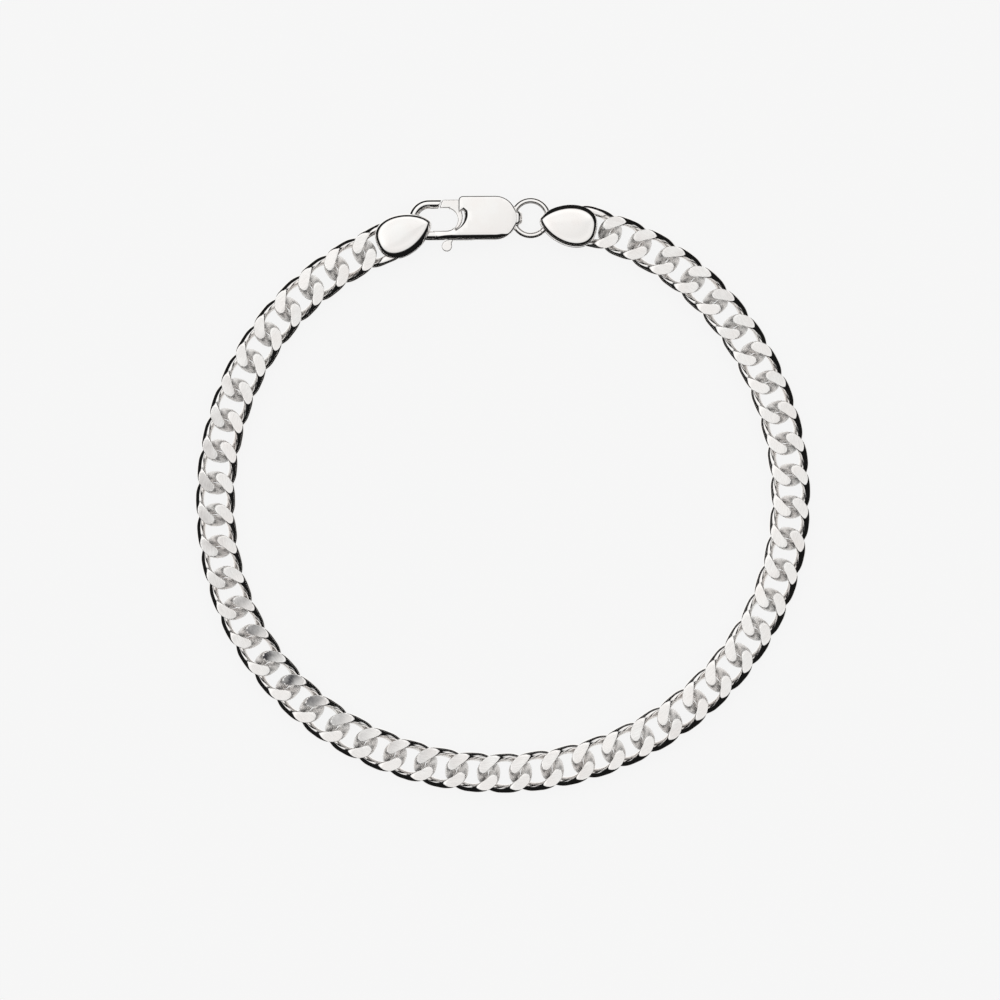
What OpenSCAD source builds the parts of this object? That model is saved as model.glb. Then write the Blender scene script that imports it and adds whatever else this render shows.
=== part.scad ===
// Curb link bracelet, closed and lying flat on a table.
// Millimetres, +Z up. The table is z = 0, the origin is the middle of the
// loop, and the clasp lies at the top of the loop, on +Y.

/* [Chain] */
// Number of links, with the two end links
link_count = 50; // [44:1:56]
// Distance from one link's centre to the next
link_pitch = 3.6; // [3.4:0.05:4]
// Width of the chain across its links
chain_width = 4.6; // [4.4:0.1:5.2]
// Thickness of the chain between its two filed faces
chain_thickness = 2.1; // [2.05:0.05:2.4]
// Width of the wire at the ends and corners of a link
link_wire = 1.2; // [1.04:0.02:1.24]
// Width of the wire along the sides of a link
side_wire = 0.9; // [0.8:0.02:1.1]
// Turn of a link's ends about the line of the chain, in degrees
link_twist = 52; // [46:1:56]

/* [Terminals] */
// Length of a terminal from its wide end to its tip
leaf_length = 6.55; // [5.8:0.05:7.2]
// Width of a terminal
leaf_width = 4.7; // [4.2:0.1:5.2]
// Height of the domed front leaf
leaf_crown = 0.8; // [0.6:0.05:1]
// How much wider the dome slopes on one side, 0 for a dome with equal sides
leaf_flank = 1; // [0:0.1:1.2]
// Thickness of the plain back leaf
leaf_wall = 0.35; // [0.3:0.01:0.45]
// Diameter of the post that holds the end link
post_d = 0.9; // [0.7:0.05:1.1]
// Diameter of the fold that joins the two leaves at the tip
fold_d = 0.5; // [0.4:0.02:0.7]

/* [Jump ring] */
// Outer diameter of the jump ring
ring_d = 4.6; // [4.2:0.1:5.4]
// Diameter of its wire
ring_wire = 0.68; // [0.5:0.02:0.8]

/* [Clasp] */
// Width of the clasp's body
clasp_width = 4.9; // [4.7:0.1:5.6]
// Thickness of the clasp's body
clasp_thickness = 2.8; // [2.6:0.05:3.4]
// Length of the clasp's body, without hook and tail
body_length = 6.5; // [6:0.1:7.5]
// Length of the opening inside the hook
opening_length = 4.5; // [4.2:0.1:5.5]
// Height of the opening inside the hook
opening_height = 2.5; // [2.3:0.05:2.7]
// Width of the hook, seen from above
hook_width = 1.05; // [0.8:0.05:1.1]
// Thickness of the hook from front to back
hook_thickness = 1; // [0.8:0.05:1.2]
// Width of the tail that the jump ring goes through
tail_width = 1.7; // [1.5:0.1:2]
// Metal round the hole in the tail
tail_wall = 0.4; // [0.3:0.02:0.5]

/* [Lever] */
// Thickness of the lever
lever_thickness = 1; // [0.7:0.05:1.1]
// Width of the lever's curved arm at its middle
arm_width = 0.55; // [0.45:0.05:0.65]
// Diameter of the pivot pin
pin_d = 0.7; // [0.5:0.02:0.8]
// Diameter of the round end that the thumb pulls
nub_d = 1.2; // [0.9:0.05:1.3]

/* [Fits] */
// Gap between two links where they cross
link_play = 0.15; // [0.12:0.01:0.2]
// Gap between fixed pieces that pass through each other
play = 0.1; // [0.08:0.01:0.15]
// Gap round the pivot pin
pin_play = 0.05; // [0.03:0.01:0.08]
// Slack of the left terminal in the hook
hook_slack = 1; // [0.8:0.05:1.2]

/* [Hidden] */

SILVER = [0.87, 0.87, 0.86];

// Shape of the loop as it lies: wave number, cosine share and sine share of its radius
LOOP_WAVES = [
    [2, 0.017, 0.008],
    [3, -0.001, -0.002],
    [4, -0.004, -0.002],
    [5, 0.002, -0.002],
];
WAVE = 0;
COSINE = 1;
SINE = 2;
// Clockwise angle from +Y of the right end link, and straight steps round the loop
first_link_angle = 19;
loop_steps = 720;
// How far the clasp leans out of the line of the loop, in degrees
clasp_lean = -5;
// How far the ring and the right terminal lie inside the line of the loop
ring_droop = [0, -0.12];
post_droop = [0, -0.4];

// A link is a squarish oval of wire, a superellipse of this power
oval_power = 2.6;
// The wire turns slowly past the middle of the link and faster near its ends
twist_power = 1.2;
// How fast the wire widens from the sides of a link to its ends
widen_power = 0.5;
link_segments = 16;
wire_sides = 6;

// Chain
link_reach = (link_pitch + link_wire + link_play) / 2;
side_reach = (chain_width - side_wire) / 2;
chain_length = (link_count - 1) * link_pitch;

// Heights of the mid-planes over the table
clasp_mid = clasp_thickness / 2;
chain_mid = max(chain_thickness / 2, leaf_wall + play + link_wire / 2);
leaf_base = max(clasp_mid + hook_thickness / 2, chain_mid + link_wire / 2) + play;

// Terminals: distances along the axis, from the post to the tip
post_edge = 1;
fold_edge = 0.05;
tip_reach = leaf_length - post_edge - post_d / 2;
fold_reach = tip_reach - fold_edge - fold_d / 2;
post_offset = link_reach - link_wire / 2 - post_d / 2 - 1.3 * play;

// Jump ring
ring_mid_r = (ring_d - ring_wire) / 2;
ring_offset = fold_reach - fold_d / 2 - play - ring_wire / 2 + ring_mid_r;

// Tail: the ring is curved, so the hole is wider than its wire
ring_inner_r = ring_d / 2 - ring_wire;
ring_near = -ring_wire / 2;
ring_far = ring_mid_r - sqrt(ring_inner_r * ring_inner_r - tail_width * tail_width / 4);
eye_x = (ring_near + ring_far) / 2;
eye_r = (ring_far - ring_near) / 2 + play;
tail_r = eye_r + tail_wall;

// Clasp, measured from the ring's wire in the tail: the hook is on -X, the gate on +Y
body_right = eye_x + 0.6 * tail_wall;
body_left = body_right - body_length;
end_x = body_right - clasp_width / 2;
body_edge = 0.3 * clasp_thickness;
opening_rim = 0.1;
// How far a cut reaches past the faces that it goes through
over = clasp_thickness / 2;
opening_r = opening_height / 2;
opening_y = opening_r + hook_width - clasp_width / 2;
opening_right = body_left - opening_rim - opening_r;
opening_left = opening_right + 2 * opening_r - opening_length;
hook_mid_r = opening_r + hook_width / 2;
tip_x = opening_left + 1.35 * hook_width;
tip_slant = 0.35 * hook_width;
low_arm_left = opening_left + 0.45 * hook_width;

// Lever
pivot = [body_left + 0.11 * body_length, opening_y + opening_r + 0.4 * hook_width];
hub_wall = 0.32;
hub_r = pin_d / 2 + pin_play + hub_wall;
slot_half = lever_thickness / 2 + play;
slot_right = pivot[0] + hub_r + play;
slot_left = opening_right - hook_width / 2;
tip_gap = 1.2 * play;
arm_start = 75;
arm_end = -52;
arm_mid_r = opening_r + arm_width / 2;
// The arm and the slit beside it are crescents: their round outer edges lie off the opening's centre
arm_shift = [0, 0.55 * arm_width];
slit_shift = [0.3 * arm_width, 0.8 * arm_width];
slit_low = -50;
slit_high = 30;
nub = [opening_right, -clasp_width / 2 - nub_d / 2 - play];

// Length of the closure from end link to end link, and the loop's radius
fold_to_hook = fold_reach - fold_d / 2 - hook_slack;
closure_length = 2 * post_offset + ring_offset + ring_mid_r - opening_left + fold_to_hook + opening_r;
unit_loop = [for (i = [0:loop_steps]) loop_shape(i * 360 / loop_steps)];
loop_x = [for (v = unit_loop) v[0]];
loop_y = [for (v = unit_loop) v[1]];
loop_middle = [max(loop_x) + min(loop_x), max(loop_y) + min(loop_y)] / 2;
unit_arc = [
    for (i = 0, s = 0; i <= loop_steps;
         s = s + (i < loop_steps ? norm(unit_loop[i + 1] - unit_loop[i]) : 0), i = i + 1)
        [s, i * 360 / loop_steps]
];
unit_angle = [for (row = unit_arc) [row[1], row[0]]];
unit_length = unit_arc[loop_steps][0];
loop_length = chain_length + closure_length;
loop_r = loop_length / unit_length;
first_link_arc = loop_r * lookup(first_link_angle, unit_angle);

// Point of the loop of radius 1 at a clockwise angle from +Y
function wave_share(w, a) = w[COSINE] * cos(w[WAVE] * a) + w[SINE] * sin(w[WAVE] * a);
function sum(v) = v * [for (x = v) 1];
function loop_share(a) = 1 + sum([for (w = LOOP_WAVES) wave_share(w, a)]);
function loop_shape(c) = loop_share(90 - c) * [sin(c), cos(c)];

// Point of the loop at a distance along it, clockwise from +Y
function wrapped(s) = s - loop_length * floor(s / loop_length);
function loop_point(s) = loop_r * (loop_shape(lookup(wrapped(s) / loop_r, unit_arc)) - loop_middle);
function direction(a, b) = atan2(b[1] - a[1], b[0] - a[0]);
function turned(v, a) = [v[0] * cos(a) - v[1] * sin(a), v[0] * sin(a) + v[1] * cos(a)];

// Places of the pieces of the closure, from the right end link round to the left one
right_post = loop_point(first_link_arc - post_offset) + post_droop;
ring_centre = loop_point(first_link_arc - post_offset - ring_offset) + ring_droop;
left_post = loop_point(first_link_arc - closure_length + post_offset);
hook_aim = loop_point(first_link_arc - closure_length + post_offset + fold_to_hook + opening_r);
clasp_turn = direction(hook_aim, ring_centre) + clasp_lean;
clasp_place = ring_centre - turned([ring_mid_r, 0], clasp_turn);
left_fold_aim = clasp_place + turned([opening_left, opening_y - 0.3 * opening_r], clasp_turn);

// One link: power of a signed number, then centre line, wire width and skin
function signed_power(v, p) = sign(v) * pow(abs(v), p);
function link_x(t) = link_reach * signed_power(cos(t), 2 / oval_power);
function link_u(t) = side_reach * signed_power(sin(t), 2 / oval_power);
function twist_at(q, ends) = (q < 0 ? -ends[0] : ends[1]) * link_twist * pow(abs(q), twist_power);
function wire_r(t) = (side_wire + (link_wire - side_wire) * pow(abs(cos(t)), widen_power)) / 2;
function link_line(t, ends) =
    let (x = link_x(t), u = link_u(t), a = twist_at(x / link_reach, ends))
    [x, u * cos(a), -u * sin(a)];
function unit(v) = v / norm(v);
function link_ring(t, ends) =
    let (
        p = link_line(t, ends),
        along = unit(link_line(t + 2, ends) - link_line(t - 2, ends)),
        side = unit(cross(along, [0, 0, 1])),
        up = cross(side, along),
        r = wire_r(t),
        top = (chain_thickness / 2 - p[2]) / (r * up[2]),
        base = (-chain_thickness / 2 - p[2]) / (r * up[2])
    )
    [for (k = [0:wire_sides - 1])
        let (
            a = k * 360 / wire_sides,
            high = max(base, min(top, sin(a))),
            wide = sign(cos(a)) * sqrt(max(0, 1 - high * high))
        )
        p + r * (wide * side + high * up)];
function link_skin(ends) = [
    for (i = [0:link_segments - 1]) each link_ring((i + 0.5) * 360 / link_segments, ends)
];
function link_faces(first) = [
    for (i = [0:link_segments - 1], k = [0:wire_sides - 1])
        let (
            j = (i + 1) % link_segments,
            m = (k + 1) % wire_sides,
            a = first + i * wire_sides + k,
            b = first + i * wire_sides + m,
            c = first + j * wire_sides + m,
            d = first + j * wire_sides + k
        )
        each [[a, b, c], [a, c, d]]
];

// An end link lies flat inside its terminal, so it's only turned at its other end
function link_ends(i) = [i == 0 ? 0 : 1, i == link_count - 1 ? 0 : 1];
function link_arc(i) = first_link_arc + i * link_pitch;
function placed_link(i) =
    let (
        before = loop_point(link_arc(i) - link_pitch / 2),
        after = loop_point(link_arc(i) + link_pitch / 2),
        centre = (before + after) / 2,
        a = direction(before, after)
    )
    [for (v = link_skin(link_ends(i)))
        let (w = turned(v, a)) [centre[0] + w[0], centre[1] + w[1], chain_mid + v[2]]];

module chain() {
    links = [for (i = [0:link_count - 1]) each placed_link(i)];
    faces = [for (i = [0:link_count - 1]) each link_faces(i * link_segments * wire_sides)];
    color(SILVER) polyhedron(points = links, faces = faces, convexity = 8);
}

// Outline of a leaf, a drop that is round at its wide end. The angle is 0 at the tip.
leaf_steps = 36;
leaf_half = leaf_length / 2;
leaf_middle = tip_reach - leaf_half;
drop_widest = max([for (i = [0:leaf_steps]) drop_width(i * 180 / leaf_steps)]);
function drop_width(t) = pow(sin(t), 0.8) * pow(sin(t / 2), 0.5);
function leaf_point(t) =
    let (half = leaf_width / 2 * drop_width(t > 180 ? 360 - t : t) / drop_widest)
    [leaf_middle + leaf_half * cos(t), t > 180 ? -half : half];
function leaf_outline() = [for (i = [0:leaf_steps - 1]) leaf_point(i * 360 / leaf_steps)];

// Dome of the front leaf. A row is its height, its share of the outline, and how much less
// that share is where the dome slopes widest
DOME = [
    [0, 1, 0],
    [0.06, 1, 0],
    [0.3, 0.99, 0.08],
    [0.55, 0.95, 0.135],
    [0.74, 0.9, 0.185],
    [0.86, 0.83, 0.23],
    [0.94, 0.7, 0.25],
    [0.985, 0.45, 0.2],
];
HEIGHT = 0;
SHARE = 1;
FLANK = 2;
function dome_share(row, t) = row[SHARE] - leaf_flank * row[FLANK] * pow(max(0, -sin(t)), 1.5);
function dome_ring(row) = [
    for (i = [0:leaf_steps - 1])
        let (t = i * 360 / leaf_steps, v = leaf_point(t), share = dome_share(row, t))
        [leaf_middle + (v[0] - leaf_middle) * share, v[1] * share, leaf_base + leaf_crown * row[HEIGHT]]
];
function dome_points() = concat(
    [for (row = DOME) each dome_ring(row)],
    [[leaf_middle, 0, leaf_base + leaf_crown], [leaf_middle, 0, leaf_base]]
);
function dome_faces() =
    let (n = leaf_steps, rows = len(DOME), top = n * rows, base = top + 1)
    concat(
        [for (r = [0:rows - 2], i = [0:n - 1])
            let (j = (i + 1) % n, a = r * n + i, b = r * n + j, c = b + n, d = a + n)
            each [[a, c, b], [a, d, c]]],
        [for (i = [0:n - 1]) [top, (rows - 1) * n + (i + 1) % n, (rows - 1) * n + i]],
        [for (i = [0:n - 1]) [base, i, (i + 1) % n]]
    );

// A terminal: back leaf, domed front leaf, the fold at its tip and the post in the end link
module terminal(place, aim) {
    inside = leaf_base + leaf_crown / 4 - leaf_wall / 2;
    translate([place[0], place[1], 0]) rotate(direction(place, aim)) {
        linear_extrude(leaf_wall) polygon(leaf_outline());
        polyhedron(points = dome_points(), faces = dome_faces(), convexity = 4);
        translate([0, 0, leaf_wall / 2]) cylinder(d = post_d, h = inside, $fn = 48);
        translate([fold_reach, 0, leaf_wall / 2]) cylinder(d = fold_d, h = inside, $fn = 48);
    }
}

module terminal_left() {
    color(SILVER) terminal(left_post, left_fold_aim);
}

module terminal_right() {
    color(SILVER) terminal(right_post, ring_centre);
}

module jump_ring() {
    color(SILVER) translate([ring_centre[0], ring_centre[1], clasp_mid])
        rotate_extrude($fn = 96) translate([ring_mid_r, 0]) circle(d = ring_wire, $fn = 32);
}

module at_clasp() {
    translate([clasp_place[0], clasp_place[1], 0]) rotate(clasp_turn) children();
}

// Rectangle with round corners, its low corner at the origin
module round_rect(w, h, r) {
    translate([r, 0]) square([w - 2 * r, h]);
    translate([0, r]) square([w, h - 2 * r]);
    for (x = [r, w - r], y = [r, h - r]) translate([x, y]) circle(r = r, $fn = 48);
}

// Section of the clasp's body, across its whole width
module body_section() {
    translate([-clasp_width / 2, 0]) round_rect(clasp_width, clasp_thickness, body_edge);
}

// Body with a half-round right end, as long as the body and the lower arm together
module body_bar() {
    translate([end_x, 0, 0]) rotate_extrude($fn = 96) intersection() {
        body_section();
        square([clasp_width, clasp_thickness]);
    }
    translate([low_arm_left, 0, 0]) rotate([90, 0, 90])
        linear_extrude(end_x - low_arm_left) body_section();
}

// Clasp body and the arm below the opening, which thins towards the hook
module body_block() {
    hook_low = clasp_mid - hook_thickness / 2;
    intersection() {
        body_bar();
        union() {
            translate([body_left, -clasp_width, 0])
                cube([2 * body_length, 2 * clasp_width, clasp_thickness]);
            rotate([90, 0, 0]) linear_extrude(clasp_width) polygon([
                [low_arm_left, hook_low],
                [body_left, 0],
                [body_left + over, 0],
                [body_left + over, clasp_thickness],
                [body_left, clasp_thickness],
                [low_arm_left, hook_low + hook_thickness]
            ]);
        }
    }
}

// Section of the hook, its middle at the origin
module hook_section() {
    translate([-hook_width / 2, -hook_thickness / 2])
        round_rect(hook_width, hook_thickness, 0.3 * hook_width);
}

module hook() {
    translate([opening_left, opening_y, clasp_mid]) {
        rotate(90) rotate_extrude(angle = 180, $fn = 96) translate([hook_mid_r, 0]) hook_section();
        translate([0, -hook_mid_r, 0]) rotate([90, 0, 90])
            linear_extrude(opening_right - opening_left) hook_section();
        intersection() {
            translate([0, hook_mid_r, 0]) rotate([90, 0, 90]) linear_extrude(2 * hook_width) hook_section();
            translate([0, 0, -hook_thickness]) linear_extrude(2 * hook_thickness) polygon([
                [0, opening_r],
                [tip_x - tip_slant - opening_left, opening_r],
                [tip_x - opening_left, opening_r + hook_width],
                [0, opening_r + hook_width]
            ]);
        }
    }
}

module opening_cut() {
    depth = clasp_thickness + 2 * over;
    translate([0, 0, -over]) {
        translate([opening_left, opening_y, 0]) cylinder(r = opening_r, h = depth, $fn = 96);
        translate([opening_right, opening_y, 0]) cylinder(r = opening_r, h = depth, $fn = 96);
        translate([opening_left, opening_y - opening_r, 0])
            cube([opening_right - opening_left, 2 * opening_r, depth]);
    }
}

// Crescent round the right end of the opening, between two angles: its outer edge may be shifted
module crescent(inner, outer, shift, from, to) {
    reach = 3 * outer;
    intersection() {
        difference() {
            translate(shift) circle(r = outer, $fn = 96);
            circle(r = inner, $fn = 96);
        }
        polygon([
            [0, 0],
            reach * [cos(from), sin(from)],
            reach * [cos((from + to) / 2), sin((from + to) / 2)],
            reach * [cos(to), sin(to)]
        ]);
    }
}

module lever_slot() {
    translate([slot_left, -clasp_width, clasp_mid - slot_half])
        cube([slot_right - slot_left, 2 * clasp_width, 2 * slot_half]);
}

// Recess along the round end of the opening, where the lever's arm shows
module arm_window() {
    translate([opening_right, opening_y, -over]) linear_extrude(clasp_thickness + 2 * over)
        crescent(opening_r / 2, opening_r + arm_width + 0.6 * play, slit_shift, slit_low, slit_high);
}

module clasp_body() {
    color(SILVER) at_clasp() difference() {
        union() {
            difference() {
                union() {
                    body_block();
                    hook();
                }
                lever_slot();
                arm_window();
            }
            translate([eye_x, tail_width / 2, clasp_mid]) rotate([90, 0, 0])
                cylinder(r = tail_r, h = tail_width, $fn = 64);
            translate([pivot[0], pivot[1], pin_d / 2])
                cylinder(d = pin_d, h = clasp_thickness - pin_d, $fn = 48);
        }
        opening_cut();
        translate([eye_x, clasp_width, clasp_mid]) rotate([90, 0, 0])
            cylinder(r = eye_r, h = 2 * clasp_width, $fn = 64);
    }
}

module lever_outline() {
    gate_low = opening_y + opening_r + play / 2;
    gate_high = opening_y + opening_r + hook_width - play / 2;
    polygon([
        [tip_x - tip_slant + tip_gap, gate_low],
        [pivot[0], gate_low],
        [pivot[0], gate_high],
        [tip_x + tip_gap, gate_high]
    ]);
    translate(pivot) circle(r = hub_r, $fn = 64);
    translate([opening_right, opening_y])
        crescent(opening_r, opening_r + arm_width, arm_shift, arm_end, arm_start);
    leg_top = [opening_right, opening_y] + arm_mid_r * [cos(arm_end), sin(arm_end)];
    translate(nub) circle(d = nub_d, $fn = 64);
    translate(nub) rotate(direction(nub, leg_top)) translate([0, -0.6 * arm_width])
        square([norm(leg_top - nub) + 0.12, 1.2 * arm_width]);
}

module clasp_lever() {
    color(SILVER) at_clasp() translate([0, 0, clasp_mid - lever_thickness / 2])
        difference() {
            linear_extrude(lever_thickness) lever_outline();
            translate([pivot[0], pivot[1], -over])
                cylinder(r = pin_d / 2 + pin_play, h = lever_thickness + 2 * over, $fn = 48);
        }
}

chain();
terminal_left();
terminal_right();
jump_ring();
clasp_body();
clasp_lever();
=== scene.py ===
"""Curb link bracelet: smooth silver links, domed ends, clasp, table, light and camera."""

import math

import bmesh
import bpy
from mathutils import Matrix, Vector


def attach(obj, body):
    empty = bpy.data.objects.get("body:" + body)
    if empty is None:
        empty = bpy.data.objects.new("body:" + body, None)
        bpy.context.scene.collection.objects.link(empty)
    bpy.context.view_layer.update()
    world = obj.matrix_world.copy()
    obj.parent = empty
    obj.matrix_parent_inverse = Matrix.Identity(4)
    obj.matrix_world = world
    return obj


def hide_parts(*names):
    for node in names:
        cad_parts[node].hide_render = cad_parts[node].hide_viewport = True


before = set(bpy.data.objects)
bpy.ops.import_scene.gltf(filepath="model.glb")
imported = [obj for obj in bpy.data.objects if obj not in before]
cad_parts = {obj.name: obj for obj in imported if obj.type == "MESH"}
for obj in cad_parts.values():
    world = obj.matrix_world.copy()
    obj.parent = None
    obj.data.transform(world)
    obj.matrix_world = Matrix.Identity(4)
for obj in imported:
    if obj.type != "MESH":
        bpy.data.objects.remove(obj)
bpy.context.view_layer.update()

MM = 0.001

# The bracelet's sizes in millimetres, as in the part's source, apart from the three powers, the
# wire at a link's ends and the room at its sides: a finely drawn link is a little squarer and
# fuller than a coarse one
LINK_COUNT = 50
LINK_PITCH = 3.6
CHAIN_WIDTH = 4.6
CHAIN_THICKNESS = 2.1
LINK_WIRE = 1.2
SIDE_WIRE = 0.9
END_WIRE = 1.28
LINK_TWIST = math.radians(52)
LINK_PLAY = 0.15
OVAL_POWER = 2.9
TWIST_POWER = 1.1
WIDEN_POWER = 0.45
SIDE_ROOM = 0.04
LINK_REACH = (LINK_PITCH + LINK_WIRE + LINK_PLAY) / 2
SIDE_REACH = (CHAIN_WIDTH - SIDE_WIRE) / 2 - SIDE_ROOM
CHAIN_MID = 1.05
CLOSURE_LENGTH = 24.9095
FIRST_LINK_ANGLE = math.radians(19)
LOOP_WAVES = ((2, 0.017, 0.008), (3, -0.001, -0.002), (4, -0.004, -0.002), (5, 0.002, -0.002))
LOOP_STEPS = 1440

# The filed flats fall away a little from the chain's middle
FLAT_START = 0.4
FLAT_SLOPE = math.radians(3)
# Softness of the flats' edges
FLAT_EDGE = 0.07
# How much a link is pinched in at the middle of its sides
SIDE_PINCH = 0.02
# Shape of the wire's section: 2 is round, less is worn to a ridge. The sides of a link are worn
# so on their outer face, most on the outer side of the loop, and stay round towards the hole
WIRE_POWER, OUTER_POWER, INNER_POWER, HOLE_POWER = 2.0, 1.35, 1.85, 2.3
# Height of the side wires as a share of their width
SIDE_HEIGHT = 0.84

# How finely the links are drawn
LINK_RINGS = 72
WIRE_SIDES = 26
# Faces that meet at more than this angle keep a sharp edge
SHARP_ANGLE = math.radians(32)

# Terminals, in millimetres
LEAF_LENGTH = 6.55
LEAF_WIDTH = 4.7
LEAF_CROWN = 0.8
LEAF_WALL = 0.35
LEAF_BASE = 2.0
POST_D = 0.9
FOLD_D = 0.5
TIP_REACH = LEAF_LENGTH - 1 - POST_D / 2
FOLD_REACH = TIP_REACH - 0.05 - FOLD_D / 2
LEFT_POST = (-12.8016, 28.6555)
RIGHT_POST = (9.10907, 30.0884)

# Jump ring and clasp, in millimetres; the clasp's own frame starts at the ring's wire
RING_CENTRE = (3.10551, 31.204)
RING_MID_R = 1.96
RING_WIRE = 0.68
CLASP_PLACE = (1.14554, 31.1917)
CLASP_TURN = math.radians(0.357829)
CLASP_THICKNESS = 2.8
CLASP_MID = CLASP_THICKNESS / 2
HALF_WIDTH = 2.45
END_R = 2.38
BODY_LEFT = -6.1395
BODY_RIGHT = 0.3605
OPENING_R = 1.25
OPENING_Y = -0.15
OPENING_LEFT = -9.48955
OPENING_RIGHT = OPENING_LEFT + 2
# How far under the opening's middle the left terminal pulls, as a share of its radius
HOOK_TURN = 0.3
LOW_ARM_LEFT = OPENING_LEFT + 0.4725
HOOK_WIDTH = 1.05
HOOK_THICKNESS = 1.0
HOOK_MID_R = OPENING_R + HOOK_WIDTH / 2
TIP_X = OPENING_LEFT + 1.35 * HOOK_WIDTH
TIP_SLANT = 0.35 * HOOK_WIDTH
SLIT_CENTRE = (OPENING_RIGHT + 0.165, OPENING_Y + 0.44)
SLIT_R = 1.86
SLIT_LOW, SLIT_HIGH = math.radians(-50), math.radians(30)
SLOT_LEFT, SLOT_RIGHT, SLOT_HALF = -7.6, -4.60455, 0.6
EYE_X, EYE_R, TAIL_R, TAIL_WIDTH = 0.1205, 0.5605, 0.9605, 1.7
PIVOT = (-5.42455, 1.52)
PIN_D = 0.7
# Radius of the body's edges: broad below, less along the lower arm, small above, at the slit and
# the opening, and where the body runs into the tail
LOW_EDGE, ARM_EDGE, HIGH_EDGE, INNER_EDGE, SLIT_EDGE, TAIL_EDGE = 0.66, 0.46, 0.17, 0.14, 0.5, 0.03
# Radius of the body's corner beside the slit, seen from above
CORNER_R = 0.5
# Shape of those edges: 1 is a straight bevel, 2 is round
EDGE_POWER = 1.3
# Depth of an edge down the side, as a share of its width seen from above
EDGE_DEPTH = 0.84
EDGE_STEPS, ARM_STEPS, CROWN_STEPS, SLIT_STEPS = 10, 10, 12, 28
# How much thinner the body is towards its rim than at its middle, as a share
BODY_CROWN = 0.04
# Place, depth as a share of the wire, and half width of the fine seam in the jump ring
SEAM_ANGLE, SEAM_DEPTH, SEAM_WIDTH = math.radians(-52), 0.14, 0.018
# Shape of the hook's section on its outer and inner side, below the opening and above it,
# and of the ring's wire
LOW_POWERS, HIGH_POWERS, RING_POWER = (1.3, 2.6), (1.6, 1.3), 1.5
HOOK_SIDES = 64
# Shape of the tail's barrel along its length and towards its rims
TAIL_POWERS, TAIL_STEPS = (4, 0.3), 24
# Radius of the lever's edges
LEVER_EDGE = 0.17


# Route of the chain

def loop_shape(c):
    """Point of the loop of radius 1 at a clockwise angle from +Y."""
    a = math.pi / 2 - c
    r = 1 + sum(u * math.cos(n * a) + v * math.sin(n * a) for n, u, v in LOOP_WAVES)
    return Vector((r * math.sin(c), r * math.cos(c)))


def make_route():
    """Points round the loop with their distances along it, in millimetres."""
    points = [loop_shape(2 * math.pi * i / LOOP_STEPS) for i in range(LOOP_STEPS + 1)]
    xs, ys = [p.x for p in points], [p.y for p in points]
    middle = Vector(((max(xs) + min(xs)) / 2, (max(ys) + min(ys)) / 2))
    arc = [0.0]
    for p, q in zip(points, points[1:]):
        arc.append(arc[-1] + (q - p).length)
    length = (LINK_COUNT - 1) * LINK_PITCH + CLOSURE_LENGTH
    radius = length / arc[-1]
    return [(p - middle) * radius for p in points], [s * radius for s in arc], length


ROUTE, ROUTE_ARC, LOOP_LENGTH = make_route()


def route_point(s):
    """Point of the loop at a distance along it, clockwise from +Y."""
    s %= LOOP_LENGTH
    low, high = 0, LOOP_STEPS
    while high - low > 1:
        mid = (low + high) // 2
        low, high = (mid, high) if ROUTE_ARC[mid] <= s else (low, mid)
    share = (s - ROUTE_ARC[low]) / (ROUTE_ARC[high] - ROUTE_ARC[low])
    return ROUTE[low].lerp(ROUTE[high], share)


def arc_at(angle):
    """Distance along the loop at a clockwise angle from +Y."""
    place = angle / (2 * math.pi) * LOOP_STEPS
    i = int(place)
    return ROUTE_ARC[i] + (place - i) * (ROUTE_ARC[i + 1] - ROUTE_ARC[i])


# Links

def smooth_step(v):
    """Rises smoothly from 0 to 1 while v does."""
    v = max(0.0, min(1.0, v))
    return v * v * (3 - 2 * v)


def signed_power(v, p):
    """The power of a number's size, with the number's sign."""
    return math.copysign(abs(v) ** p, v)


def link_line(t, ends):
    """Centre line of a link's wire. ends says how far its two ends are twisted."""
    x = LINK_REACH * signed_power(math.cos(t), 2 / OVAL_POWER)
    pinch = 1 - SIDE_PINCH * math.sin(t) ** 8
    u = SIDE_REACH * pinch * signed_power(math.sin(t), 2 / OVAL_POWER)
    q = x / LINK_REACH
    a = (-ends[0] if q < 0 else ends[1]) * LINK_TWIST * abs(q) ** TWIST_POWER
    return Vector((x, u * math.cos(a), -u * math.sin(a)))


def wire_radius(t):
    """Radius of a link's wire, which is thicker towards the link's ends."""
    return (SIDE_WIRE + (END_WIRE - SIDE_WIRE) * abs(math.cos(t)) ** WIDEN_POWER) / 2


def flat_height(y):
    """Height of a filed flat over the middle of the chain."""
    return CHAIN_THICKNESS / 2 - max(0.0, abs(y) - FLAT_START) * math.tan(FLAT_SLOPE)


def filed(p):
    """A point of the wire's skin lowered to the flats, with a soft edge where they meet."""
    top, high = flat_height(p.y), abs(p.z)
    share = max(0.0, min(1.0, 0.5 + 0.5 * (top - high) / FLAT_EDGE))
    low = top + (high - top) * share - FLAT_EDGE * share * (1 - share)
    return Vector((p.x, p.y, math.copysign(low, p.z)))


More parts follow.
